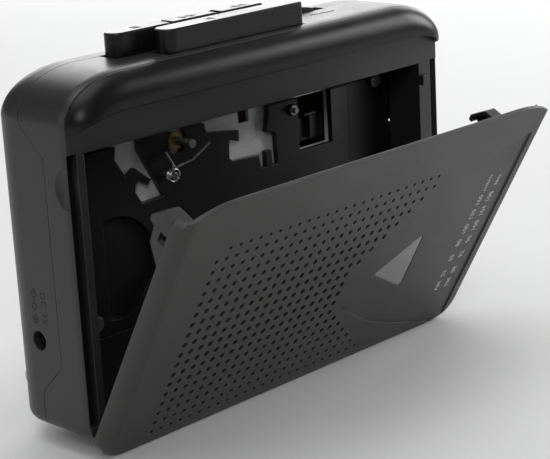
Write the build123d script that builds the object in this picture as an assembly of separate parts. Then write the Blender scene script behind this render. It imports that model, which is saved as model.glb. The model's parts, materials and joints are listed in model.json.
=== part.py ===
from build123d import *
import math
import os

# Portable cassette player. X runs along the width, Y from front to back, Z up.
# The origin is the middle of the base. "Depth" values count back from the front face.
# All sizes are in millimetres.

# Casing
WIDTH = 126.0
HEIGHT = 82.5
DEPTH = 32.0
FRONT = -DEPTH / 2
WALL = 2.0
CORNER_ACROSS = 17.0
CORNER_DOWN = 10.0
BASE_ROUND = 3.0
FRONT_ROUND = 6.5
REAR_ROUND = 9.0
TRIM_DEPTH = 4.4
LANDING_BACK = 6.2
SEAM_TOP_DEPTH = 20.0
SEAM_MID_DEPTH = 12.3
SEAM_LOW = 16.4
SEAM_HIGH = 64.8
SEAM_GAP = 0.16
SCALLOP_Z = 58.6
GAP = 0.3

# Opening for the cassette
WELL_LEFT = -58.0
WELL_RIGHT = 55.6
WELL_TOP = 66.0
WELL_WALL = 1.2
BAND_EDGE = 74.3
BAND_DROP = 6.5
BAND_FLAT = 48.0

# Cassette position that the deck is laid out for
HUB_HEIGHT = 31.2
LEFT_HUB = -22.5
RIGHT_HUB = 20.0

# Screws, as (x, z)
SCREW_PLACES = ((-52.0, 73.2), (47.5, 73.2), (-57.1, 9.0), (57.1, 9.0))
DECK_SCREW_PLACES = ((-50.0, 22.5), (50.0, 61.5), (0.0, 22.5))

# Door
DOOR_PLATE = 1.6
DOOR_ROUND = 3.2
DOOR_CORNER = 7.0
DOOR_FLANGE = 4.1
DOOR_LOW = 0.35
DOOR_OPEN = 29.4
HINGE_DEPTH = 11.6
HINGE_HEIGHT = 1.8
HINGE_PIN = 0.9
HINGE_PLAY = 0.06
LEFT_ARM = -57.2
RIGHT_ARM = 53.6
ARM_THICK = 1.6

# Grille
GRILLE_PITCH = 3.04
GRILLE_LEFT = -49.3
GRILLE_TOP = 60.4
GRILLE_COLUMNS = (24, 24, 23, 22, 21, 20, 19, 18, 17, 17, 17, 17, 17, 18, 19, 20, 21, 22, 23)

# Deck
DECK_FRONT = 15.2
DECK_BACK = 16.6
DECK_LOW = 18.8
DECK_TOP = 62.2
CHASSIS_FRONT = 16.9
CHASSIS_BACK = 17.9
CAPSTAN_X = -20.8
CAPSTAN_Z = 59.7
CAPSTAN_RADIUS = 1.0
SHAFT_PLAY = 0.05
MOTOR_X = -41.9
MOTOR_Z = 33.9
MOTOR_RADIUS = 12.6
MOTOR_FRONT = 17.1
PULLEY_RADIUS = 3.0
FLYWHEEL_RADIUS = 13.5
REEL_RADIUS = 6.0
LOCATING_X = 18.4
LOCATING_Z = 59.6
GEAR_MODULE = 0.34
PINION_TEETH = 14
IDLER_TEETH = 44
GEAR_ANGLE = -44.3
GEAR_CENTRES = GEAR_MODULE * (PINION_TEETH + IDLER_TEETH) / 2
IDLER_X = CAPSTAN_X + GEAR_CENTRES * math.cos(math.radians(GEAR_ANGLE))
IDLER_Z = CAPSTAN_Z + GEAR_CENTRES * math.sin(math.radians(GEAR_ANGLE))
ROLLER_RADIUS = 5.0
ARM_PIVOT_X = -34.5
ARM_PIVOT_Z = 71.7
ARM_LENGTH = 13.0

# Keys
KEY_TOP = 88.0
KEY_FOOT = 78.0
PLAY_FRONT = 6.8
PLAY_BACK = 12.7
REAR_KEY_FRONT = 14.1
REAR_KEY_BACK = 19.7
PLAY_SPAN = (-29.3, 15.6)
STOP_SPAN = (-38.4, -21.1)
REWIND_SPAN = (-20.6, -5.3)
FORWARD_SPAN = (-4.8, 10.2)

# Wheels, jacks and switch on the edges
VOLUME_X = 28.0
VOLUME_Z = 74.2
VOLUME_RADIUS = 9.5
TUNING_X = 53.2
TUNING_Z = 40.0
TUNING_RADIUS = 11.0
DC_JACK_DEPTH = 19.7
DC_JACK_Z = 21.4
DC_JACK_RADIUS = 2.3
PHONE_JACK_DEPTH = 19.8
PHONE_JACK_Z = 24.0
PHONE_JACK_RADIUS = 1.8
SWITCH_DEPTH = 16.9
SWITCH_Z = 58.0

# Battery bay
BAY_HALF = 53.2
BAY_LOW = 2.1
BAY_TOP = 18.5
BAY_FRONT = 15.2
BAY_BACK = 30.4
BAY_SKIN = 0.8
COVER_THICK = 1.4

BOARD_FRONT = 27.0
BOARD_BACK = 28.4


# ---------------------------------------------------------------- basic shapes
def block(x, depth, z):
    """Block between two x values, two depths and two heights, each given as a pair."""
    centre = ((x[0] + x[1]) / 2, FRONT + (depth[0] + depth[1]) / 2, (z[0] + z[1]) / 2)
    return Pos(*centre) * Box(x[1] - x[0], depth[1] - depth[0], z[1] - z[0])


def rod(x, z, radius, depth):
    """Round bar along the depth."""
    length = depth[1] - depth[0]
    return Pos(x, FRONT + depth[0] + length / 2, z) * Rot(90, 0, 0) * Cylinder(radius, length)


def cross_rod(x, depth, z, radius):
    """Round bar along the width."""
    length = x[1] - x[0]
    return Pos(x[0] + length / 2, FRONT + depth, z) * Rot(0, 90, 0) * Cylinder(radius, length)


def slab(sketch, depth):
    """Front outline given thickness between two depths."""
    plane = Plane.XZ.offset(-(FRONT + depth[1]))
    return extrude(plane * sketch, depth[1] - depth[0])


def side_slab(sketch, x):
    """Side outline, drawn as (depth, height), given thickness between two x values."""
    plane = Plane(origin=(x[0], FRONT, 0), x_dir=(0, 1, 0), z_dir=(1, 0, 0))
    return extrude(plane * sketch, x[1] - x[0])


def outline(*points):
    return make_face(Polyline(*points, close=True))


def toothed(radius, teeth, depth_of_tooth, start=0.0):
    """Gear outline with straight-sided teeth, the first one at the start angle in degrees."""
    points = []
    step = 2 * math.pi / teeth
    for tooth in range(teeth):
        for part, reach in ((-0.27, 0), (-0.13, 1), (0.13, 1), (0.27, 0)):
            angle = math.radians(start) + (tooth + part) * step
            length = radius - depth_of_tooth * (1 - reach)
            points.append((length * math.cos(angle), length * math.sin(angle)))
    return outline(*points)


def coil(radius, wire, height, turns):
    """Coil spring standing on the origin."""
    path = Helix(height / turns, height, radius)
    start = Plane(origin=path @ 0, z_dir=path % 0)
    return sweep(start * Circle(wire), path=path)


def opened(shape):
    """Turn a piece of the closed door to its open position."""
    hinge = Axis((0, FRONT + HINGE_DEPTH, HINGE_HEIGHT), (1, 0, 0))
    return shape.rotate(hinge, DOOR_OPEN)


def gear(x, z, teeth, start):
    """Outline of one of the two meshing gears."""
    tip = GEAR_MODULE * teeth / 2 + 0.2
    return Pos(x, z) * toothed(tip, teeth, 0.47, start)


# ---------------------------------------------------------------- casing
def case_form(inset):
    """Outer form of the case, drawn in by the inset."""
    half = WIDTH / 2 - inset
    top = HEIGHT - inset
    across = CORNER_ACROSS - inset
    down = CORNER_DOWN - inset
    shoulder = top - down
    below = -20.0
    left_corner = EllipticalCenterArc((across - half, shoulder), across, down, 90, arc_size=90)
    right_corner = EllipticalCenterArc((half - across, shoulder), across, down, 0, arc_size=90)
    left_side = Line((-half, shoulder), (-half, below))
    under = Line((-half, below), (half, below))
    right_side = Line((half, below), (half, shoulder))
    crown = Line((half - across, top), (across - half, top))
    face = make_face(Curve() + [left_corner, left_side, under, right_side, right_corner, crown])
    form = slab(face, (inset, DEPTH - inset))
    for end, radius in ((0, FRONT_ROUND - inset), (-1, REAR_ROUND - inset)):
        edges = form.faces().sort_by(Axis.Y)[end].edges()
        rounded = [edge for edge in edges if edge.center().Z > below + 1]
        form = fillet(rounded, radius)
    form = form & block((-WIDTH, WIDTH), (0, DEPTH), (inset, HEIGHT))
    base = form.faces().sort_by(Axis.Z)[0]
    return fillet(base.edges(), BASE_ROUND - inset)


def behind_seam(shift=0.0):
    """Everything behind the seam between the front housing and the rear cover."""
    back = SEAM_TOP_DEPTH + shift
    middle = SEAM_MID_DEPTH + shift
    face = outline(
        (back, -1),
        (back, 8.0),
        (back - 1.0, 10.0),
        (middle, SEAM_LOW),
        (middle, SEAM_HIGH),
        (back - 2, 70.0),
        (back, 72.6),
        (back, HEIGHT + 1),
        (DEPTH + 1, HEIGHT + 1),
        (DEPTH + 1, -1),
    )
    return side_slab(face, (-WIDTH / 2 - 1, WIDTH / 2 + 1))


def band_outline(shift, top):
    """Front area above the edge where the band meets the door, down both shoulders."""
    half = WIDTH / 2 + 1
    centre = BAND_EDGE - BAND_DROP + shift
    across = half - BAND_FLAT
    left = EllipticalCenterArc((-BAND_FLAT, centre), across, BAND_DROP, 90, arc_size=90)
    right = EllipticalCenterArc((BAND_FLAT, centre), across, BAND_DROP, 0, arc_size=90)
    edge = Line((-BAND_FLAT, centre + BAND_DROP), (BAND_FLAT, centre + BAND_DROP))
    side_left = Line((-half, centre), (-half, top))
    side_right = Line((half, centre), (half, top))
    crown = Line((-half, top), (half, top))
    return make_face(Curve() + [left, edge, right, side_right, crown, side_left])


def top_slots():
    """Holes in the top wall for the keys and the volume wheel."""
    reach = (HEIGHT - WALL - 2, HEIGHT + 2)
    play = block((PLAY_SPAN[0] - GAP, PLAY_SPAN[1] + GAP), (PLAY_FRONT - GAP, PLAY_BACK + GAP), reach)
    row = block((STOP_SPAN[0] - GAP, FORWARD_SPAN[1] + GAP), (REAR_KEY_FRONT - GAP, SEAM_TOP_DEPTH), reach)
    half_slot = 7.4
    wheel = block((VOLUME_X - half_slot, VOLUME_X + half_slot), (18.0, 21.6), reach)
    return play + row + wheel


def front_housing():
    shell = case_form(0) - case_form(WALL)
    ring = shell & block((-WIDTH, WIDTH), (TRIM_DEPTH, DEPTH), (-1, HEIGHT + 1))
    ring -= behind_seam()
    wall = case_form(0.6) & block((-WIDTH, WIDTH), (TRIM_DEPTH, LANDING_BACK), (0, HEIGHT))
    wall -= block((WELL_LEFT, WELL_RIGHT), (0, DEPTH), (WALL, WELL_TOP))
    well_depth = (LANDING_BACK - 0.1, DECK_FRONT - 0.2)
    well_z = (WALL - 0.5, WELL_TOP)
    left_wall = block((WELL_LEFT - WELL_WALL, WELL_LEFT), well_depth, well_z)
    right_wall = block((WELL_RIGHT, WELL_RIGHT + WELL_WALL), well_depth, well_z)
    spring_ledge = block((9.5, 16.5), (LANDING_BACK - 0.1, 12.0), (69.0, 70.0))
    housing = ring + wall + left_wall + right_wall + spring_ledge
    for x in ((-61.5, LEFT_ARM - GAP), (RIGHT_ARM + ARM_THICK + GAP, 61.5)):
        housing += block(x, (9.4, 13.8), (0.5, 4.2))
    for x, z in SCREW_PLACES:
        start = LANDING_BACK - 0.1 if z > WELL_TOP else 13.9
        housing += rod(x, z, 2.3, (start, 29.6))
        housing -= rod(x, z, 0.9, (18.0, 30.0))
    housing -= cross_rod((-60.4, -50), HINGE_DEPTH, HINGE_HEIGHT, HINGE_PIN)
    housing -= cross_rod((50, 60.4), HINGE_DEPTH, HINGE_HEIGHT, HINGE_PIN)
    slot_play = 0.6
    for x in (LEFT_ARM, RIGHT_ARM):
        span = (x - slot_play, x + ARM_THICK + slot_play)
        housing -= block(span, (0, HINGE_DEPTH + 3.4), (-1, WALL + 0.2))
    lead = side_slab(outline((4.0, -1), (6.6, -1), (6.6, 0), (4.0, 1.6)), (-WIDTH, WIDTH))
    housing -= lead
    groove = outline((-64, 3.0), (-60.1, 3.0), (-60.1, 7.0), (-60.9, 7.0), (-62.8, TRIM_DEPTH + 0.1), (-64, 4.5))
    channel = extrude(Plane(origin=(0, FRONT, 3.5)) * groove, 62.8)
    housing = housing - channel - mirror(channel, Plane.YZ)
    scallop = Pos(-WIDTH / 2 - 0.6, FRONT + 5.2, SCALLOP_Z) * scale(Sphere(5), (0.4, 0.8, 1.0))
    housing = housing - scallop
    return housing - top_slots()


def front_trim():
    band = slab(band_outline(0, HEIGHT + 1), (0, TRIM_DEPTH - SEAM_GAP))
    trim = case_form(0) & band
    hollow = case_form(WALL) & slab(band_outline(WALL, HEIGHT + 1), (WALL, TRIM_DEPTH))
    return trim - hollow


def rear_cover():
    shell = case_form(0) - case_form(WALL)
    cover = shell & behind_seam(SEAM_GAP)
    window = 52.0
    cover -= block((-window, window), (DEPTH - 4, DEPTH + 1), (2.6, 17.9))
    for x, z in SCREW_PLACES:
        cover -= rod(x, z, 1.2, (29, DEPTH + 1))
        cover -= rod(x, z, 2.6, (30.8, DEPTH + 1))
    cover -= cross_rod((-64, -60), DC_JACK_DEPTH, DC_JACK_Z, DC_JACK_RADIUS)
    cover -= cross_rod((60, 64), PHONE_JACK_DEPTH, PHONE_JACK_Z, PHONE_JACK_RADIUS + 1.0)
    cover -= block((60, 64), (SWITCH_DEPTH - 1.3, SWITCH_DEPTH + 1.3), (SWITCH_Z - 4.2, SWITCH_Z + 4.2))
    cover -= block((60, 64), (19.1, 22.9), (TUNING_Z - 8.4, TUNING_Z + 8.4))
    for x, z in SCREW_PLACES:
        cover -= rod(x, z, 2.5, (SEAM_MID_DEPTH, 29.8))
    return cover - top_slots()


def battery_bay():
    outer = block((-BAY_HALF, BAY_HALF), (BAY_FRONT, BAY_BACK - 0.8), (BAY_LOW, BAY_TOP))
    inner_x = (BAY_SKIN - BAY_HALF, BAY_HALF - BAY_SKIN)
    inner = block(inner_x, (BAY_FRONT + BAY_SKIN, DEPTH), (BAY_LOW + BAY_SKIN, BAY_TOP - BAY_SKIN))
    return outer - inner


def battery_cover():
    panel = case_form(0) & block((-51.8, 51.8), (BAY_BACK + 0.1, DEPTH), (2.8, 17.7))
    ridges = [block((-8, 8), (DEPTH - 0.5, DEPTH + 1), (z, z + 0.6)) for z in (6, 8, 10, 12, 14)]
    for ridge in ridges:
        panel -= ridge
    tabs = [block((x - 3, x + 3), (28.8, BAY_BACK + 0.2), (16.2, 17.4)) for x in (-30, 30)]
    return panel + tabs[0] + tabs[1]


def case_screws():
    screws = []
    for x, z in SCREW_PLACES:
        screw = rod(x, z, 2.2, (30.85, 31.5)) + rod(x, z, 0.85, (22, 31))
        screws.append(screw - block((x - 1.4, x + 1.4), (31.1, 32), (z - 0.25, z + 0.25))
                      - block((x - 0.25, x + 0.25), (31.1, 32), (z - 1.4, z + 1.4)))
    return Compound(children=screws)


# ---------------------------------------------------------------- door
def hole_radius(row):
    """Grille holes grow towards the middle rows."""
    return 0.42 + 0.36 * math.sin(math.pi * (row + 1) / 20)


def grille_holes():
    """All the grille holes, as one group of round bars."""
    holes = []
    for row, last in enumerate(GRILLE_COLUMNS):
        first = 1 if row == 0 else 0
        for column in range(first, last + 1):
            x = GRILLE_LEFT + column * GRILLE_PITCH
            z = GRILLE_TOP - row * GRILLE_PITCH
            holes.append(Pos(x, z) * Circle(hole_radius(row)))
    return Sketch() + holes


def field_outline():
    """Bow-fronted field that holds the window and the dial."""
    upper = Spline((58.0, 65.2), (40.6, 60.8), (22.7, 51.9), (7.7, 40.3), (4.6, 30.5),
                   tangents=((-1, -0.25), (0, -1)))
    lower = Spline((4.6, 30.5), (10.4, 21.1), (27.2, 11.4), (45.1, 4.7), (58.0, 1.6),
                   tangents=((0, -1), (1, -0.2)))
    closing = Line((58.0, 1.6), (58.0, 65.2))
    return make_face(Curve() + [upper, lower, closing])


def window_outline(grow):
    """Rounded triangle that points to the left."""
    triangle = outline((15.0, 31.4), (30.0, 22.4), (30.0, 40.4))
    return offset(fillet(triangle.vertices(), 1.0), grow)


def door_form(inset, bottom):
    """Solid that the door is shelled from, rounded all round its front."""
    half = WIDTH / 2 - inset
    tall = 2 * (HEIGHT - bottom)
    face = Pos(0, bottom + tall / 2) * RectangleRounded(2 * half, tall, DOOR_CORNER - inset)
    form = slab(face, (inset, DOOR_FLANGE if inset == 0 else DEPTH))
    rim = form.faces().sort_by(Axis.Y)[0].edges()
    form = fillet(rim, DOOR_ROUND - inset)
    return form & block((-WIDTH, WIDTH), (-1, DEPTH + 1), (0, HEIGHT))


def door_panel():
    door = door_form(0, DOOR_LOW) - door_form(DOOR_PLATE, DOOR_LOW + DOOR_PLATE)
    door -= slab(band_outline(-GAP, HEIGHT + 2), (-1, DEPTH))
    door -= slab(band_outline(-1.2, HEIGHT + 2), (DOOR_PLATE - 0.5, DEPTH))
    door -= slab(grille_holes(), (-1, DOOR_PLATE + 1))
    recess_depth = 0.35
    door -= slab(field_outline(), (-1, recess_depth))
    door -= slab(window_outline(0.0), (-1, DOOR_PLATE + 1))
    thumb = Pos(WIDTH / 2 + 1.3, FRONT + 2.8, 65.0) * scale(Sphere(5), (0.5, 0.9, 0.9))
    door -= thumb
    for x in (LEFT_ARM, RIGHT_ARM):
        span = (x, x + ARM_THICK)
        arm = side_slab(arm_outline(), span)
        boss = cross_rod(span, HINGE_DEPTH, HINGE_HEIGHT, 1.6)
        door = door + arm + boss
    door -= cross_rod((-60, 60), HINGE_DEPTH, HINGE_HEIGHT, HINGE_PIN + HINGE_PLAY)
    return opened(door)


def arm_outline():
    """Side view of a hinge arm, raised so that it stays above the base when the door opens."""
    return outline(
        (DOOR_PLATE - 0.2, 5.4),
        (4.6, 4.4),
        (8.2, 2.4),
        (10.4, 0.9),
        (12.6, 2.8),
        (7.0, 7.4),
        (DOOR_PLATE - 0.2, 9.0),
    )


def triangle_window():
    pane = slab(window_outline(-0.05), (0.45, DOOR_PLATE - 0.1))
    return opened(pane)


def holder_outline():
    """Side view of a bracket that holds the edge of the cassette."""
    return outline(
        (DOOR_PLATE + 0.05, 50.0),
        (8.5, 52.0),
        (12.2, 55.8),
        (12.6, 60.0),
        (14.2, 60.6),
        (14.2, 62.0),
        (11.0, 65.4),
        (DOOR_PLATE + 0.05, 65.4),
    )


def lip_outline():
    """Side view of the lip along the top of a bracket."""
    return outline((14.2, 60.6), (14.2, 62.0), (11.0, 65.4), (4.2, 65.4), (4.2, 64.5), (10.6, 64.5), (13.3, 61.6),
                   (13.3, 60.3))


def door_holder(x, inward):
    """Bracket with a lip that wraps the cassette's edge. Inward is the way to the middle."""
    thick = 1.3
    plate = side_slab(holder_outline(), (min(x, x + thick * inward), max(x, x + thick * inward)))
    plate -= block((x - 2, x + 2), (8.2, 10.4), (57.5, 60.0))
    foot = block(sorted((x, x + 4.6 * inward)), (DOOR_PLATE + 0.05, DOOR_PLATE + 0.85), (50.0, 65.4))
    cap = side_slab(lip_outline(), sorted((x, x + 3.8 * inward)))
    return opened(plate + foot + cap)


def door_hinge_pins():
    left = cross_rod((-60.3, LEFT_ARM + ARM_THICK), HINGE_DEPTH, HINGE_HEIGHT, HINGE_PIN)
    right = cross_rod((RIGHT_ARM, 60.3), HINGE_DEPTH, HINGE_HEIGHT, HINGE_PIN)
    return Compound(children=[left, right])


def door_catch():
    """Small block on the landing beside the opening that the door snaps over."""
    return block((55.9, 57.9), (3.2, TRIM_DEPTH), (60.2, 62.8))


# ---------------------------------------------------------------- tape deck
def left_window():
    return outline((-39.4, 66), (-33.2, 66), (-33, 59.9), (-26.2, 47.6), (-33, 47.3), (-35, 50.4),
                   (-34.8, 52.3), (-33.4, 52.9), (-31.2, 51.3), (-29.9, 52.4), (-34.6, 56.1),
                   (-37.4, 54.5), (-40.5, 59.3))


def right_window():
    return outline((-13, 66), (10.3, 66), (10.1, 60),
                   (9, 55.8), (12.2, 55.2), (12.5, 47.1), (10.5, 47.1), (10.5, 51), (8.4, 51),
                   (8.4, 47.1), (6.5, 47.1), (5.9, 50.6), (-2.8, 51), (-4.2, 51.9), (-4, 56.5),
                   (-0.7, 55.5), (-0.5, 58.2), (-11.3, 59.8))


def deck_cover():
    plate = block((WELL_LEFT + 0.2, WELL_RIGHT - 0.2), (DECK_FRONT, DECK_BACK), (DECK_LOW, DECK_TOP))
    through = (DECK_FRONT - 1, DECK_BACK + 1)
    plate -= slab(left_window(), through)
    plate -= slab(right_window(), through)
    for x in (LEFT_HUB, RIGHT_HUB):
        plate -= rod(x, HUB_HEIGHT, REEL_RADIUS + 0.4, through)
    motor_hole = rod(MOTOR_X - 0.4, MOTOR_Z, MOTOR_RADIUS - 0.4, through)
    plate -= motor_hole & block((-45.5, 0), through, (0, HEIGHT))
    plate -= rod(CAPSTAN_X, CAPSTAN_Z, 3.0, through)
    plate -= rod(LOCATING_X, LOCATING_Z, 1.6, through)
    plate -= block((20.6, 33.0), through, (48.5, 66))
    plate -= block((39.5, 54.5), (DECK_FRONT - 1, DECK_FRONT + 0.8), (24, 66))
    for x, z in DECK_SCREW_PLACES:
        plate -= rod(x, z, 1.1, through)
    collar = rod(MOTOR_X, MOTOR_Z, MOTOR_RADIUS + 0.5, (DECK_BACK - 0.1, 24.0))
    return plate + collar - rod(MOTOR_X, MOTOR_Z, MOTOR_RADIUS + 0.05, (DECK_BACK, 25.0))


def chassis_plate():
    plate = block((-40.5, 44.5), (CHASSIS_FRONT, CHASSIS_BACK), (46.5, 73.0))
    plate += block((-27.5, 44.5), (CHASSIS_FRONT, CHASSIS_BACK), (20.0, 46.6))
    through = (CHASSIS_FRONT - 1, CHASSIS_BACK + 1)
    for x in (LEFT_HUB, RIGHT_HUB):
        plate -= rod(x, HUB_HEIGHT, 1.2, through)
    plate -= rod(CAPSTAN_X, CAPSTAN_Z, 2.2, through)
    plate -= rod(IDLER_X, IDLER_Z, 0.8, through)
    plate -= rod(ARM_PIVOT_X, ARM_PIVOT_Z, 1.0, through)
    plate -= block((20.6, 33.0), through, (48.5, 62.0))
    plate -= block((1.1, 4.7), through, (59.3, 64.0))
    plate -= rod(0.0, 22.5, 0.9, through)
    plate -= rod(MOTOR_X, MOTOR_Z, MOTOR_RADIUS + 1.7, through)
    return plate


def head_plate():
    plate = block((-16.0, 25.0), (15.5, 16.5), (67.0, 72.6))
    tab = block((10.9, 15.0), (15.5, 16.5), (72.5, 76.4))
    bridge = block((-6.0, 3.6), (12.4, 15.6), (70.6, 72.0))
    return plate + tab + bridge


def play_head():
    body = block((-7.2, 4.8), (6.8, 12.2), (67.2, 76.4))
    nose = cross_rod((-5.2, 2.8), 9.5, 68.0, 1.2)
    return body + nose


def pinch_arm():
    lever = block((ARM_PIVOT_X, ARM_PIVOT_X + ARM_LENGTH), (12.8, 13.8), (ARM_PIVOT_Z - 1.6, ARM_PIVOT_Z + 1.6))
    lever += rod(ARM_PIVOT_X, ARM_PIVOT_Z, 1.9, (12.8, 16.6))
    lever += rod(ARM_PIVOT_X + ARM_LENGTH, ARM_PIVOT_Z, 1.6, (12.8, 13.8))
    lever += rod(ARM_PIVOT_X + ARM_LENGTH, ARM_PIVOT_Z, 0.8, (6.6, 13.0))
    return lever - rod(ARM_PIVOT_X, ARM_PIVOT_Z, 1.0 + SHAFT_PLAY, (12, 17))


def pinch_pivot():
    return rod(ARM_PIVOT_X, ARM_PIVOT_Z, 1.0, (12.2, CHASSIS_BACK))


def pinch_roller():
    x = ARM_PIVOT_X + ARM_LENGTH
    tyre = rod(x, ARM_PIVOT_Z, ROLLER_RADIUS, (7.0, 12.4))
    return tyre - rod(x, ARM_PIVOT_Z, 0.8 + SHAFT_PLAY, (6, 14))


def capstan_shaft():
    return rod(CAPSTAN_X, CAPSTAN_Z, CAPSTAN_RADIUS, (10.0, 28.8))


def capstan_bush():
    bush = rod(CAPSTAN_X, CAPSTAN_Z, 2.2, (15.9, 20.0)) + rod(CAPSTAN_X, CAPSTAN_Z, 3.2, (18.0, 19.0))
    return bush - rod(CAPSTAN_X, CAPSTAN_Z, CAPSTAN_RADIUS + SHAFT_PLAY, (10, 25))


def flywheel():
    wheel = rod(CAPSTAN_X, CAPSTAN_Z, FLYWHEEL_RADIUS, (24.5, 28.6))
    groove = rod(CAPSTAN_X, CAPSTAN_Z, FLYWHEEL_RADIUS + 1, (26.9, 28.3))
    groove -= rod(CAPSTAN_X, CAPSTAN_Z, FLYWHEEL_RADIUS - 0.8, (26, 29))
    pinion = gear(CAPSTAN_X, CAPSTAN_Z, PINION_TEETH, GEAR_ANGLE)
    wheel = wheel - groove + slab(pinion, (20.4, 24.6))
    return wheel - rod(CAPSTAN_X, CAPSTAN_Z, CAPSTAN_RADIUS, (19, 30))


def thrust_plate():
    strip = block((-40.0, -3.6), (29.0, 29.7), (57.7, 61.7))
    for x in (-38.6, -5.1):
        strip += rod(x, CAPSTAN_Z, 1.3, (CHASSIS_BACK, 29.2))
    return strip


def motor_can():
    can = rod(MOTOR_X, MOTOR_Z, MOTOR_RADIUS, (MOTOR_FRONT, 26.4))
    rim = can.faces().sort_by(Axis.Y)[0].edges()
    can = fillet(rim, 1.6)
    dish = rod(MOTOR_X, MOTOR_Z, MOTOR_RADIUS - 2.4, (MOTOR_FRONT - 1, MOTOR_FRONT + 0.8))
    boss = rod(MOTOR_X, MOTOR_Z, 1.9, (MOTOR_FRONT - 0.4, MOTOR_FRONT + 1))
    can = can - dish + boss
    return can - rod(MOTOR_X, MOTOR_Z, 0.75 + SHAFT_PLAY, (24, 27))


def motor_pulley():
    pulley = rod(MOTOR_X, MOTOR_Z, PULLEY_RADIUS + 0.8, (26.6, 28.6))
    groove = rod(MOTOR_X, MOTOR_Z, PULLEY_RADIUS + 2, (26.9, 28.3))
    groove -= rod(MOTOR_X, MOTOR_Z, PULLEY_RADIUS, (26, 29))
    return pulley - groove + rod(MOTOR_X, MOTOR_Z, 0.75, (24.2, 26.7))


def drive_belt():
    """Belt round the motor pulley and the flywheel, standing just off both grooves."""
    play = 0.3
    width = 0.5
    small = PULLEY_RADIUS + play
    large = FLYWHEEL_RADIUS - 0.8 + play
    rings = [Pos(MOTOR_X, MOTOR_Z) * Circle(small), Pos(CAPSTAN_X, CAPSTAN_Z) * Circle(large)]
    inner = make_hull(rings[0].edges() + rings[1].edges())
    outer = offset(inner, width)
    return slab(outer - inner, (27.1, 28.1))


def reel(x):
    """Reel table with the splined post that turns the cassette's hub."""
    table = slab(Pos(x, HUB_HEIGHT) * toothed(REEL_RADIUS, 30, 0.5), (15.4, 16.6))
    table += rod(x, HUB_HEIGHT, 3.4, (13.2, 15.5))
    table += rod(x, HUB_HEIGHT, 2.4, (6.6, 13.3))
    for turn in (90, 210, 330):
        fin = Pos(x, FRONT + 9.9, HUB_HEIGHT) * Rot(0, turn, 0) * Pos(2.9, 0, 0) * Box(1.8, 6.0, 0.9)
        table += fin
    return table - rod(x, HUB_HEIGHT, 1.2 + SHAFT_PLAY, (7.4, 18))


def reel_shafts():
    shafts = [rod(x, HUB_HEIGHT, 1.2, (7.6, CHASSIS_BACK)) for x in (LEFT_HUB, RIGHT_HUB)]
    return Compound(children=shafts)


def idler_gear():
    half_step = 180 / IDLER_TEETH
    disc = slab(gear(IDLER_X, IDLER_Z, IDLER_TEETH, GEAR_ANGLE + 180 + half_step), (20.8, 22.4))
    disc += rod(IDLER_X, IDLER_Z, 2.0, (18.2, 20.9))
    return disc - rod(IDLER_X, IDLER_Z, 0.8 + SHAFT_PLAY, (17, 23))


def idler_shaft():
    return rod(IDLER_X, IDLER_Z, 0.8, (CHASSIS_FRONT, 23.0))


def brake_spring():
    """Torsion spring on the deck, with one short and one cranked leg."""
    wire = 0.3
    ring = Pos(-25.0, FRONT + 13.6, 52.6) * Rot(90, 0, 0) * coil(1.5, wire, 1.4, 2.5)
    post = rod(-25.0, 52.6, 0.8, (12.2, DECK_FRONT))
    legs = None
    for start, end in (((-24.0, 53.8), (-26.8, 58.6)), ((-24.2, 54.2), (-18.5, 55.0)), ((-18.5, 55.0), (-12.6, 58.0))):
        path = Line((start[0], FRONT + 13.0, start[1]), (end[0], FRONT + 13.0, end[1]))
        leg = sweep(Plane(origin=path @ 0, z_dir=path % 0) * Circle(wire), path=path)
        legs = leg if legs is None else legs + leg
    knee = Pos(-18.5, FRONT + 13.0, 55.0) * Sphere(wire)
    return Compound(children=[post, ring, legs + knee])


def locating_pin():
    collar = rod(LOCATING_X, LOCATING_Z, 1.3, (14.4, CHASSIS_FRONT))
    return collar + rod(LOCATING_X, LOCATING_Z, 0.7, (13.4, 14.5))


def deck_screws():
    screws = []
    for x, z in DECK_SCREW_PLACES:
        screws.append(rod(x, z, 1.8, (DECK_FRONT - 0.8, DECK_FRONT)) + rod(x, z, 0.8, (DECK_FRONT - 0.1, 18.4)))
    return Compound(children=screws)


def leaf_switch():
    body = block((21.0, 32.6), (18.2, 20.6), (50.0, 56.0))
    lever = block((26.4, 27.2), (16.8, 18.3), (50.5, 57.0)) + block((24.6, 29.0), (16.8, 17.4), (56.6, 57.2))
    return body + lever


# ---------------------------------------------------------------- keys
def key_cap(span, depth, rounded_end):
    """Key cap, with its left end fully round or all its corners slightly round."""
    width = depth[1] - depth[0]
    length = span[1] - span[0]
    corner = 1.0
    plan = Rectangle(length, width)
    left = [vertex for vertex in plan.vertices() if vertex.X < 0]
    plan = fillet(left, width / 2 - 0.05 if rounded_end else corner)
    right = [vertex for vertex in plan.vertices() if vertex.X > length / 2 - 0.1]
    plan = fillet(right, corner)
    cap = extrude(plan, KEY_TOP - KEY_FOOT)
    top = cap.faces().sort_by(Axis.Z)[-1].edges()
    cap = chamfer(top, 0.3 if rounded_end else 0.8)
    return Pos((span[0] + span[1]) / 2, FRONT + (depth[0] + depth[1]) / 2, KEY_FOOT) * cap


def play_key():
    key = key_cap(PLAY_SPAN, (PLAY_FRONT, PLAY_BACK), True)
    foot = block((11.0, 14.9), (12.0, 16.4), (76.6, 78.2))
    return key + foot


def play_spring():
    return Pos(13.0, FRONT + 9.4, 70.3) * coil(1.6, 0.2, 7.3, 6)


def key_spring(span):
    """Coil spring under one of the rear keys."""
    middle = (span[0] + span[1]) / 2
    return Pos(middle, FRONT + 19.3, 71.3) * coil(1.0, 0.2, 6.2, 6)


def key_shelf():
    shelf = block((-38.0, 12.0), (CHASSIS_BACK, 21.5), (70.0, 71.0))
    return shelf


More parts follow.
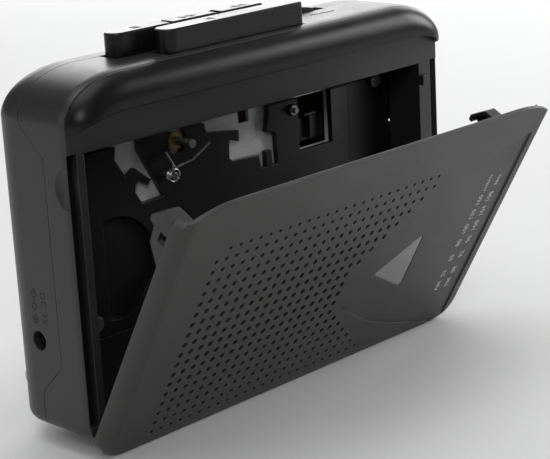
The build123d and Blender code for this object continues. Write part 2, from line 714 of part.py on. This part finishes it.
# ---------------------------------------------------------------- radio and power
def wheel(x, z, radius, depth, notches):
    """Thumb wheel with a notched rim, bored for its shaft."""
    disc = slab(Pos(x, z) * toothed(radius, notches, 0.45), depth)
    return disc - rod(x, z, 1.5, (depth[0] - 1, depth[1] + 1))


def circuit_board():
    board = block((-3.2, 57.0), (BOARD_FRONT, BOARD_BACK), (20.0, 64.0))
    return board + block((14.0, 45.0), (BOARD_FRONT, BOARD_BACK), (63.9, 76.0))


def volume_control():
    body = rod(VOLUME_X, VOLUME_Z, 5.0, (21.8, 25.4))
    legs = block((VOLUME_X - 4, VOLUME_X + 4), (25.3, BOARD_FRONT), (66.5, 70.5))
    return body + legs + rod(VOLUME_X, VOLUME_Z, 1.45, (18.4, 21.9))


def tuning_capacitor():
    body = block((46.4, 59.2), (23.0, BOARD_FRONT), (33.5, 46.5))
    return body + rod(TUNING_X, TUNING_Z, 1.45, (19.4, 23.1))


def band_switch():
    body = block((57.2, 60.8), (15.4, 18.4), (52.0, 64.0))
    slot = block((59.0, 62.0), (SWITCH_DEPTH - 1.0, SWITCH_DEPTH + 1.0), (SWITCH_Z - 3.9, SWITCH_Z + 3.9))
    return body - slot


def band_knob():
    stem = block((59.2, 62.4), (SWITCH_DEPTH - 0.8, SWITCH_DEPTH + 0.8), (SWITCH_Z - 1.4, SWITCH_Z + 1.4))
    ribs = [block((62.2, 63.0), (SWITCH_DEPTH - 0.8, SWITCH_DEPTH + 0.8), (SWITCH_Z + z, SWITCH_Z + z + 0.5))
            for z in (-1.4, -0.25, 0.9)]
    return stem + ribs[0] + ribs[1] + ribs[2]


def dc_jack():
    body = block((-60.8, -53.6), (16.8, 22.6), (18.7, 24.4))
    return body - cross_rod((-62, -56), DC_JACK_DEPTH, DC_JACK_Z, DC_JACK_RADIUS - 0.5) \
        + cross_rod((-60.4, -55.9), DC_JACK_DEPTH, DC_JACK_Z, 0.6)


def headphone_jack():
    body = block((49.0, 60.8), (16.8, 22.8), (20.6, 27.4))
    collar = cross_rod((60.7, 62.6), PHONE_JACK_DEPTH, PHONE_JACK_Z, PHONE_JACK_RADIUS + 0.8)
    return body + collar - cross_rod((51, 64), PHONE_JACK_DEPTH, PHONE_JACK_Z, PHONE_JACK_RADIUS)


def ferrite_rod():
    return cross_rod((-3.0, 42.0), 24.0, 23.5, 2.5)


def antenna_coil():
    return cross_rod((8.0, 26.0), 24.0, 23.5, 3.0) - cross_rod((7, 27), 24.0, 23.5, 2.5)


def battery_contacts():
    inner = BAY_HALF - BAY_SKIN
    plate_left = block((-inner, 0.4 - inner), (17.5, 29.0), (4.5, 16.5))
    plate_right = block((inner - 0.4, inner), (17.5, 29.0), (4.5, 16.5))
    spring = Pos(0.4 - inner, FRONT + 23.2, 10.3) * Rot(0, 90, 0) * coil(3.0, 0.3, 3.0, 3)
    return Compound(children=[plate_left, plate_right, spring])


PARTS = {
    "front_housing": front_housing,
    "front_trim": front_trim,
    "rear_cover": rear_cover,
    "battery_bay": battery_bay,
    "battery_cover": battery_cover,
    "case_screws": case_screws,
    "door_panel": door_panel,
    "triangle_window": triangle_window,
    "door_holder_left": lambda: door_holder(-57.5, 1),
    "door_holder_right": lambda: door_holder(55.1, -1),
    "door_hinge_pins": door_hinge_pins,
    "door_catch": door_catch,
    "deck_cover": deck_cover,
    "chassis_plate": chassis_plate,
    "head_plate": head_plate,
    "play_head": play_head,
    "pinch_arm": pinch_arm,
    "pinch_pivot": pinch_pivot,
    "pinch_roller": pinch_roller,
    "capstan_shaft": capstan_shaft,
    "capstan_bush": capstan_bush,
    "flywheel": flywheel,
    "thrust_plate": thrust_plate,
    "motor_can": motor_can,
    "motor_pulley": motor_pulley,
    "drive_belt": drive_belt,
    "supply_reel": lambda: reel(LEFT_HUB),
    "takeup_reel": lambda: reel(RIGHT_HUB),
    "reel_shafts": reel_shafts,
    "idler_gear": idler_gear,
    "idler_shaft": idler_shaft,
    "brake_spring": brake_spring,
    "locating_pin": locating_pin,
    "deck_screws": deck_screws,
    "leaf_switch": leaf_switch,
    "play_key": play_key,
    "stop_key": lambda: key_cap(STOP_SPAN, (REAR_KEY_FRONT, REAR_KEY_BACK), True),
    "rewind_key": lambda: key_cap(REWIND_SPAN, (REAR_KEY_FRONT, REAR_KEY_BACK), False),
    "forward_key": lambda: key_cap(FORWARD_SPAN, (REAR_KEY_FRONT, REAR_KEY_BACK), False),
    "play_spring": play_spring,
    "stop_spring": lambda: key_spring(STOP_SPAN),
    "rewind_spring": lambda: key_spring(REWIND_SPAN),
    "forward_spring": lambda: key_spring(FORWARD_SPAN),
    "key_shelf": key_shelf,
    "circuit_board": circuit_board,
    "volume_wheel": lambda: wheel(VOLUME_X, VOLUME_Z, VOLUME_RADIUS, (18.4, 21.2), 56),
    "volume_control": volume_control,
    "tuning_wheel": lambda: wheel(TUNING_X, TUNING_Z, TUNING_RADIUS, (19.5, 22.5), 64),
    "tuning_capacitor": tuning_capacitor,
    "band_switch": band_switch,
    "band_knob": band_knob,
    "dc_jack": dc_jack,
    "headphone_jack": headphone_jack,
    "ferrite_rod": ferrite_rod,
    "antenna_coil": antenna_coil,
    "battery_contacts": battery_contacts,
}

os.makedirs("parts", exist_ok=True)
for name, make in PARTS.items():
    shape = make()
    shape.label = name
    export_step(shape, f"parts/{name}.step")
    print(name, len(shape.solids()), round(shape.volume, 1))
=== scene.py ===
import math

import bmesh
import bpy
from mathutils import Matrix, Vector
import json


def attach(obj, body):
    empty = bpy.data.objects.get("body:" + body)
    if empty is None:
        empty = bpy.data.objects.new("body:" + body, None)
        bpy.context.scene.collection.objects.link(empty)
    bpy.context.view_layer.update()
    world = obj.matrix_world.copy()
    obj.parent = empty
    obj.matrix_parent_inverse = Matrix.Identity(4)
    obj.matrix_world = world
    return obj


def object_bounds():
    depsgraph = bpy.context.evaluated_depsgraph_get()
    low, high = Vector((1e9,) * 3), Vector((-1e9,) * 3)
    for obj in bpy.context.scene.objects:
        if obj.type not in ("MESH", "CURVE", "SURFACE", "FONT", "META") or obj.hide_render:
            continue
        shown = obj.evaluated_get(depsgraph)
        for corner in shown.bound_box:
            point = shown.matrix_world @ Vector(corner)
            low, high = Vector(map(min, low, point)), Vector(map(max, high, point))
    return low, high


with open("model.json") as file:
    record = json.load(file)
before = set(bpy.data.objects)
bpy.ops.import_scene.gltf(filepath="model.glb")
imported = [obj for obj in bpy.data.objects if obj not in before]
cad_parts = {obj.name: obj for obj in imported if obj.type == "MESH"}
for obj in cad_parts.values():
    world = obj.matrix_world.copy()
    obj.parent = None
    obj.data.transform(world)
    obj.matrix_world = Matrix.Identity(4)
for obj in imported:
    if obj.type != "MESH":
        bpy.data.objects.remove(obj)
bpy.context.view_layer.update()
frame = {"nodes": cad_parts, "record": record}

# Geometry shared with the CAD, in metres apart from the depth of the door's sunken field, which is
# in millimetres as the pieces' own sizes are. Depth counts back from the front face.
MM = 0.001
FRONT = -16.0 * MM
DOOR_OPEN = math.radians(29.4)
FIELD_DEPTH = 0.35
HINGE_DEPTH = 11.6 * MM
HINGE_HEIGHT = 1.8 * MM
KEY_TOP = 88.0 * MM
CASE_TOP = 82.5 * MM
CASE_SIDE = 63.0 * MM


# ---------------------------------------------------------------- materials
# The Mix node's colour sockets share their names with its other sockets, so they go by number.
MIX_FIRST = 6
MIX_SECOND = 7
MIX_RESULT = 2


def node(tree, kind, values=None, **settings):
    made = tree.nodes.new(kind)
    for key, value in settings.items():
        setattr(made, key, value)
    for key, value in (values or {}).items():
        made.inputs[key].default_value = value
    return made


def grey(value, warm=0.0):
    return (value * (1 + warm), value, value * (1 - warm), 1.0)


def lighter(colour, factor):
    return tuple(min(1.0, channel * factor) for channel in colour[:3]) + (1.0,)


def surface(name, colour, rough, metallic=0.0, grain=(6000, 0.00002), mottle=0.12, rough_spread=0.08,
            edge=1.6, edge_width=0.0004, stretch=(1, 1, 1), specular=0.5, coat=0.0):
    """Material with fine grain, soft patches of tone, uneven gloss and rubbed edges."""
    material = bpy.data.materials.new(name)
    material.use_nodes = True
    tree = material.node_tree
    tree.nodes.clear()
    out = node(tree, "ShaderNodeOutputMaterial")
    shader = node(tree, "ShaderNodeBsdfPrincipled", {"Metallic": metallic, "Specular IOR Level": specular,
                                                     "Coat Weight": coat})
    tree.links.new(shader.outputs[0], out.inputs[0])
    place = node(tree, "ShaderNodeTexCoord")
    turn = node(tree, "ShaderNodeMapping", {"Scale": stretch})
    tree.links.new(place.outputs["Object"], turn.inputs["Vector"])
    # Tone: broad patches and finer speckle
    patches = node(tree, "ShaderNodeTexNoise", {"Scale": 55.0, "Detail": 5.0, "Roughness": 0.6})
    tree.links.new(place.outputs["Object"], patches.inputs["Vector"])
    speckle = node(tree, "ShaderNodeTexNoise", {"Scale": 1500.0, "Detail": 3.0})
    tree.links.new(turn.outputs[0], speckle.inputs["Vector"])
    blend = node(tree, "ShaderNodeMix", {"Factor": 0.35}, data_type="FLOAT")
    tree.links.new(patches.outputs["Fac"], blend.inputs["A"])
    tree.links.new(speckle.outputs["Fac"], blend.inputs["B"])
    tones = node(tree, "ShaderNodeValToRGB")
    tones.color_ramp.elements[0].position = 0.3
    tones.color_ramp.elements[0].color = lighter(colour, 1 - mottle)
    tones.color_ramp.elements[1].position = 0.7
    tones.color_ramp.elements[1].color = lighter(colour, 1 + mottle)
    tree.links.new(blend.outputs[0], tones.inputs["Fac"])
    # Edges: rounded in the shading, and rubbed a little lighter in places
    round_edge = node(tree, "ShaderNodeBevel", {"Radius": edge_width}, samples=4)
    geometry = node(tree, "ShaderNodeNewGeometry")
    bend = node(tree, "ShaderNodeVectorMath", operation="DOT_PRODUCT")
    tree.links.new(round_edge.outputs[0], bend.inputs[0])
    tree.links.new(geometry.outputs["Normal"], bend.inputs[1])
    worn = node(tree, "ShaderNodeMapRange", {"From Min": 0.99, "From Max": 0.86,
                                             "To Min": 0.0, "To Max": 1.0})
    tree.links.new(bend.outputs["Value"], worn.inputs["Value"])
    rubbed = node(tree, "ShaderNodeMath", operation="MULTIPLY")
    tree.links.new(worn.outputs[0], rubbed.inputs[0])
    tree.links.new(patches.outputs["Fac"], rubbed.inputs[1])
    tint = node(tree, "ShaderNodeMix", {MIX_SECOND: lighter(colour, edge)}, data_type="RGBA")
    tree.links.new(rubbed.outputs[0], tint.inputs["Factor"])
    tree.links.new(tones.outputs["Color"], tint.inputs[MIX_FIRST])
    tree.links.new(tint.outputs[MIX_RESULT], shader.inputs["Base Color"])
    # Gloss
    gloss = node(tree, "ShaderNodeMapRange", {"From Min": 0.3, "From Max": 0.7,
                                              "To Min": rough - rough_spread,
                                              "To Max": rough + rough_spread})
    tree.links.new(blend.outputs[0], gloss.inputs["Value"])
    tree.links.new(gloss.outputs[0], shader.inputs["Roughness"])
    # Grain
    scale, depth = grain
    texture = node(tree, "ShaderNodeTexNoise", {"Scale": float(scale), "Detail": 2.0})
    tree.links.new(turn.outputs[0], texture.inputs["Vector"])
    bump = node(tree, "ShaderNodeBump", {"Strength": 0.6, "Distance": depth})
    tree.links.new(texture.outputs["Fac"], bump.inputs["Height"])
    tree.links.new(round_edge.outputs[0], bump.inputs["Normal"])
    tree.links.new(bump.outputs[0], shader.inputs["Normal"])
    return material


LOOKS = {
    "case_plastic": surface("case_plastic", grey(0.026, 0.01), 0.38, grain=(5200, 0.00003), edge=1.8),
    "band_plastic": surface("band_plastic", grey(0.006), 0.34, grain=(5200, 0.00003), edge=2.0,
                            specular=0.32),
    "door_plastic": surface("door_plastic", grey(0.034, 0.04), 0.40, grain=(5200, 0.00003), edge=1.7),
    "key_plastic": surface("key_plastic", grey(0.010), 0.27, grain=(5200, 0.00002), edge=1.8, specular=0.3),
    "deck_plastic": surface("deck_plastic", grey(0.007), 0.38, grain=(5200, 0.00003), edge=2.2),
    "window_plastic": surface("window_plastic", grey(0.19), 0.2, grain=(900, 0.000004), edge=1.2, coat=0.4),
    "wheel_plastic": surface("wheel_plastic", grey(0.014), 0.42, edge=2.2, edge_width=0.0002),
    "reel_plastic": surface("reel_plastic", grey(0.02), 0.4, edge=1.8, edge_width=0.0002),
    "gear_plastic": surface("gear_plastic", (0.68, 0.66, 0.6, 1), 0.45, edge=1.1, edge_width=0.0001),
    "zinc": surface("zinc", (0.86, 0.87, 0.85, 1), 0.4, 0.3, (3000, 0.00001), 0.2, 0.1, 1.2, 0.0002,
                    (0.15, 1, 1)),
    "steel": surface("steel", (0.5, 0.5, 0.49, 1), 0.28, 1.0, (6000, 0.000006), 0.12, 0.08, 1.2, 0.0001,
                     (1, 0.1, 1)),
    "nickel": surface("nickel", (0.62, 0.62, 0.6, 1), 0.2, 1.0, (4000, 0.000004), 0.1, 0.06, 1.15, 0.0002),
    "bearing": surface("bearing", (0.5, 0.36, 0.16, 1), 0.34, 1.0, (5000, 0.000008), 0.15, 0.08, 1.3,
                       0.0001),
    "rubber": surface("rubber", grey(0.014), 0.75, grain=(4000, 0.00003), edge=1.5, edge_width=0.0002),
    "board": surface("board", (0.2, 0.13, 0.05, 1), 0.55, grain=(2500, 0.00002), mottle=0.2, edge=1.4),
    "ferrite": surface("ferrite", grey(0.03), 0.6, grain=(2500, 0.00003), mottle=0.25),
    "copper": surface("copper", (0.45, 0.17, 0.07, 1), 0.3, 1.0, (9000, 0.00003), 0.15, 0.08, 1.3, 0.0001,
                      (8, 0.2, 0.2)),
    "print_ink": surface("print_ink", grey(0.6), 0.5, grain=(7000, 0.000006), mottle=0.08, edge=1.0),
    # Dark ink for the marks on the keys and the case; also used for the painted shade along the bow on the
    # door.
    "ink_and_painted_shade": surface("ink_and_painted_shade", grey(0.008), 0.6, grain=(7000, 0.000006), mottle=0.1, edge=1.0),
}
for part in frame["record"]["subparts"]:
    mesh = frame["nodes"][part["node"]].data
    mesh.materials.clear()
    mesh.materials.append(LOOKS[part["material_slot"]])


# ---------------------------------------------------------------- placing pieces
def opened():
    """Turns a piece drawn on the closed door to where the open door is."""
    hinge = Vector((0, FRONT + HINGE_DEPTH, HINGE_HEIGHT))
    return Matrix.Translation(hinge) @ Matrix.Rotation(DOOR_OPEN, 4, "X") @ Matrix.Translation(-hinge)


def facing_front(x, depth, z, turn=0.0):
    """Place on a face that looks forward. Turn is in degrees, against the clock."""
    spot = Matrix.Translation(Vector((x * MM, FRONT + depth * MM, z * MM)))
    return spot @ Matrix.Rotation(math.pi / 2, 4, "X") @ Matrix.Rotation(math.radians(turn), 4, "Z")


def facing_up(x, depth, z, turn=0.0):
    spot = Matrix.Translation(Vector((x * MM, FRONT + depth * MM, z * MM)))
    return spot @ Matrix.Rotation(math.radians(turn), 4, "Z")


def facing_left(depth, z, turn=0.0):
    spot = Matrix.Translation(Vector((-CASE_SIDE, FRONT + depth * MM, z * MM)))
    return (spot @ Matrix.Rotation(-math.pi / 2, 4, "Z") @ Matrix.Rotation(math.pi / 2, 4, "X")
            @ Matrix.Rotation(math.radians(turn), 4, "Z"))


def piece(name, mesh, place, body, look):
    """Puts a mesh where it belongs, on its body, in one of the looks."""
    mesh.transform(place)
    mesh.materials.clear()
    mesh.materials.append(LOOKS[look])
    made = bpy.data.objects.new(name, mesh)
    bpy.context.scene.collection.objects.link(made)
    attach(made, body)


def lettering(name, words, height, place, body, look, spread=1.0, thick=0.03):
    """Raised or inked characters. Height is the height of a figure, in millimetres."""
    figure_height = 0.73
    curve = bpy.data.curves.new(name, "FONT")
    curve.body = words
    curve.align_x = "CENTER"
    curve.align_y = "CENTER"
    curve.size = height / figure_height
    curve.extrude = thick / 2
    curve.offset = 0.012 * height
    curve.space_character = spread
    curve.resolution_u = 4
    holder = bpy.data.objects.new(name, curve)
    mesh = bpy.data.meshes.new_from_object(holder)
    bpy.data.objects.remove(holder)
    bpy.data.curves.remove(curve)
    mesh.transform(Matrix.Scale(MM, 4))
    piece(name, mesh, place, body, look)


def plate(name, outline, thick, place, body, look):
    """Thin plate of an outline given in millimetres, standing half proud of its face."""
    shape = bmesh.new()
    corners = [shape.verts.new((x * MM, y * MM, -thick * MM / 2)) for x, y in outline]
    face = shape.faces.new(corners)
    risen = bmesh.ops.extrude_face_region(shape, geom=[face])
    for vertex in risen["geom"]:
        if isinstance(vertex, bmesh.types.BMVert):
            vertex.co.z += thick * MM
    bmesh.ops.recalc_face_normals(shape, faces=shape.faces)
    mesh = bpy.data.meshes.new(name)
    shape.to_mesh(mesh)
    shape.free()
    piece(name, mesh, place, body, look)


def ring(name, radius, width, thick, place, body, look):
    """Flat ring, standing half proud of its face."""
    shape = bmesh.new()
    steps = 32
    loops = []
    for reach, height in ((radius, 1), (radius - width, 1), (radius - width, -1), (radius, -1)):
        loop = []
        for step in range(steps):
            angle = 2 * math.pi * step / steps
            loop.append(shape.verts.new((reach * math.cos(angle) * MM, reach * math.sin(angle) * MM,
                                         height * thick * MM / 2)))
        loops.append(loop)
    for which, loop in enumerate(loops):
        following = loops[(which + 1) % len(loops)]
        for step in range(steps):
            ahead = (step + 1) % steps
            shape.faces.new((loop[step], loop[ahead], following[ahead], following[step]))
    bmesh.ops.recalc_face_normals(shape, faces=shape.faces)
    mesh = bpy.data.meshes.new(name)
    shape.to_mesh(mesh)
    shape.free()
    piece(name, mesh, place, body, look)


def bead(name, points, radius, place, body, look):
    """Fine round bead along a smooth line of points, given in millimetres."""
    curve = bpy.data.curves.new(name, "CURVE")
    curve.dimensions = "3D"
    curve.bevel_depth = radius * MM
    curve.bevel_resolution = 2
    curve.resolution_u = 10
    spline = curve.splines.new("BEZIER")
    spline.bezier_points.add(len(points) - 1)
    for knot, (x, y) in zip(spline.bezier_points, points):
        knot.co = (x * MM, y * MM, 0)
        knot.handle_left_type = "AUTO"
        knot.handle_right_type = "AUTO"
    holder = bpy.data.objects.new(name, curve)
    mesh = bpy.data.meshes.new_from_object(holder)
    bpy.data.objects.remove(holder)
    bpy.data.curves.remove(curve)
    piece(name, mesh, place, body, look)


# ---------------------------------------------------------------- dial on the door
AM_X = 49.1
FM_X = 53.3
FIGURE_HEIGHT = 1.75
UNIT_HEIGHT = 1.3
DIAL_ROWS = (
    (16.0, "AM", "FM"),
    (20.4, "53", "88"),
    (25.8, "65", "92"),
    (31.0, "80", "96"),
    (35.6, "100", "100"),
    (40.5, "130", "104"),
    (45.3, "160", "108"),
    (50.9, "x10kHz", "MHz"),
)
for row, (z, am, fm) in enumerate(DIAL_ROWS):
    height = UNIT_HEIGHT if row == len(DIAL_ROWS) - 1 else FIGURE_HEIGHT
    for column, x, words in (("am", AM_X, am), ("fm", FM_X, fm)):
        spot = opened() @ facing_front(x, FIELD_DEPTH, z, 90)
        lettering(f"dial_{column}_{row}", words, height, spot, "door", "print_ink")
BAR = ((-0.65, 0), (0.65, 0), (0.65, 31.6), (-0.65, 31.6))
plate("dial_bar", BAR, 0.06, opened() @ facing_front(59.0, FIELD_DEPTH, 18.6), "door", "print_ink")

# Painted shade: a dark bead along the lower branch of the bow stands for the shade in the step at the edge of
# the door's sunken field.
BOW_LOW = ((4.6, 30.5), (6.0, 25.6), (10.4, 21.1), (18.0, 16.0), (27.2, 11.4), (36.0, 7.8), (45.1, 4.7),
           (54.0, 2.4))
bead("bow_step_painted_shade", BOW_LOW, 0.17, opened() @ facing_front(0, FIELD_DEPTH, 0), "door", "ink_and_painted_shade")

# ---------------------------------------------------------------- marks on the keys
SQUARE = ((-1.1, -1.1), (1.1, -1.1), (1.1, 1.1), (-1.1, 1.1))
ARROW_LEFT = ((-1.4, 0.0), (1.1, -1.25), (1.1, 1.25))
ARROW_RIGHT = ((1.4, 0.0), (-1.1, 1.25), (-1.1, -1.25))
KEY_MARKS = (
    ("stop_mark", SQUARE, -29.75, 17.0, "stop_button"),
    ("rewind_mark_a", ARROW_RIGHT, -14.4, 17.0, "rewind_button"),
    ("rewind_mark_b", ARROW_RIGHT, -11.9, 17.0, "rewind_button"),
    ("forward_mark_a", ARROW_LEFT, 2.0, 17.0, "forward_button"),
    ("forward_mark_b", ARROW_LEFT, 4.5, 17.0, "forward_button"),
    ("play_mark", ARROW_LEFT, -13.3, 9.7, "play_button"),
)
MARK_THICK = 0.05
for name, shape, x, depth, body in KEY_MARKS:
    plate(name, shape, MARK_THICK, facing_up(x, depth, KEY_TOP / MM), body, "ink_and_painted_shade")

# ---------------------------------------------------------------- marks on the case
WEDGE = ((-4.0, -0.1), (4.0, -0.8), (4.0, 0.8), (-4.0, 0.1))
plate("volume_wedge", WEDGE, 0.2, facing_up(29.5, 14.0, CASE_TOP / MM), "case", "case_plastic")
lettering("jack_label", "DC 3V", 1.9, facing_left(17.2, 29.5, -90), "case", "ink_and_painted_shade",
          1.1)
POLARITY_DEPTH = 20.4
MINUS_Z = 32.6
PLUS_Z = 26.4
for name, z, radius in (("minus_ring", MINUS_Z, 1.0), ("socket_ring", 29.5, 0.9), ("plus_ring", PLUS_Z, 1.0)):
    ring(name, radius, 0.25, MARK_THICK, facing_left(POLARITY_DEPTH, z), "case", "ink_and_painted_shade")
STROKE_LONG = ((-0.9, -0.12), (0.9, -0.12), (0.9, 0.12), (-0.9, 0.12))
STROKE_SHORT = ((-0.5, -0.12), (0.5, -0.12), (0.5, 0.12), (-0.5, 0.12))
POLARITY_STROKES = (
    ("minus_stroke", STROKE_SHORT, MINUS_Z, 90),
    ("plus_stroke_a", STROKE_SHORT, PLUS_Z, 90),
    ("plus_stroke_b", STROKE_SHORT, PLUS_Z, 0),
    ("lead_stroke_a", STROKE_LONG, 31.0, 90),
    ("lead_stroke_b", STROKE_LONG, 28.0, 90),
)
for name, stroke, z, turn in POLARITY_STROKES:
    plate(name, stroke, MARK_THICK, facing_left(POLARITY_DEPTH, z, turn), "case", "ink_and_painted_shade")
ARROW_DOWN = ((-2.2, 1.2), (0.0, -1.6), (2.2, 1.2))
on_the_back = Matrix.Translation(Vector((0, -FRONT, 4.3 * MM)))
facing_back = Matrix.Rotation(math.pi, 4, "Z") @ Matrix.Rotation(math.pi / 2, 4, "X")
plate("battery_arrow", ARROW_DOWN, 0.1, on_the_back @ facing_back, "battery_lid", "ink_and_painted_shade")


# ---------------------------------------------------------------- floor, light and camera
def lamp(name, place, target, width, height, power):
    """Soft rectangular light that is turned towards its target."""
    light = bpy.data.lights.new(name, "AREA")
    light.shape = "RECTANGLE"
    light.size = width
    light.size_y = height
    light.energy = power
    holder = bpy.data.objects.new(name, light)
    holder.location = place
    holder.rotation_euler = (Vector(target) - Vector(place)).to_track_quat("-Z", "Y").to_euler()
    bpy.context.scene.collection.objects.link(holder)


FLOOR_CLEARANCE = 0.0002
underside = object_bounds()[0][2]
floor_shape = bmesh.new()
bmesh.ops.create_grid(floor_shape, x_segments=8, y_segments=8, size=4.0)
floor_mesh = bpy.data.meshes.new("floor")
floor_shape.to_mesh(floor_mesh)
floor_shape.free()
floor = bpy.data.objects.new("floor", floor_mesh)
floor.location = (0, 0, underside - FLOOR_CLEARANCE)
floor_mesh.materials.append(surface("floor_paper", grey(0.86), 0.8, grain=(900, 0.00002), mottle=0.01,
                                    edge=1.0, edge_width=0.00001, specular=0.1))
bpy.context.scene.collection.objects.link(floor)

# The sky is white to the camera and lights the object only a little.
world = bpy.data.worlds.new("studio")
bpy.context.scene.world = world
world.use_nodes = True
tree = world.node_tree
tree.nodes.clear()
sky_out = node(tree, "ShaderNodeOutputWorld")
seen = node(tree, "ShaderNodeBackground", {"Color": (1, 1, 1, 1), "Strength": 1.0})
given = node(tree, "ShaderNodeBackground", {"Color": (0.95, 0.97, 1.0, 1), "Strength": 0.09})
ray = node(tree, "ShaderNodeLightPath")
either = node(tree, "ShaderNodeMixShader")
tree.links.new(ray.outputs["Is Camera Ray"], either.inputs[0])
tree.links.new(given.outputs[0], either.inputs[1])
tree.links.new(seen.outputs[0], either.inputs[2])
tree.links.new(either.outputs[0], sky_out.inputs[0])

lamp("back_light", (0.95, 0.85, 0.5), (0, 0, 0.05), 1.3, 0.8, 11)
lamp("top_light", (-0.1, 0.1, 1.0), (0, 0, 0.04), 0.8, 0.8, 4)
lamp("right_light", (1.0, -0.35, 0.47), (0.04, -0.04, 0.05), 0.5, 0.5, 6)
lamp("left_light", (-0.95, 0.45, 0.4), (0, 0, 0.04), 0.6, 0.7, 1.2)
lamp("front_light", (-0.7, -0.75, 0.75), (0, 0, 0.05), 0.35, 0.35, 2.6)

CAMERA_PLACE = (-0.28873, -0.29667, 0.15215)
camera_data = bpy.data.cameras.new("camera")
camera_data.sensor_width = 36.0
camera_data.lens = 113.63
camera_data.clip_start = 0.01
camera = bpy.data.objects.new("camera", camera_data)
azimuth = math.radians(-45.285)
elevation = math.radians(16.148)
roll = math.radians(-3.183)
back = Vector((
    math.sin(azimuth) * math.cos(elevation),
    -math.cos(azimuth) * math.cos(elevation),
    math.sin(elevation),
))
right = (-back).cross(Vector((0, 0, 1))).normalized()
up = right.cross(-back)
tilted_right = math.cos(roll) * right + math.sin(roll) * up
tilted_up = -math.sin(roll) * right + math.cos(roll) * up
turned = Matrix((tilted_right, tilted_up, back)).transposed().to_4x4()
camera.matrix_world = Matrix.Translation(CAMERA_PLACE) @ turned
bpy.context.scene.collection.objects.link(camera)
bpy.context.scene.camera = camera
bpy.context.scene.view_settings.view_transform = "Standard"
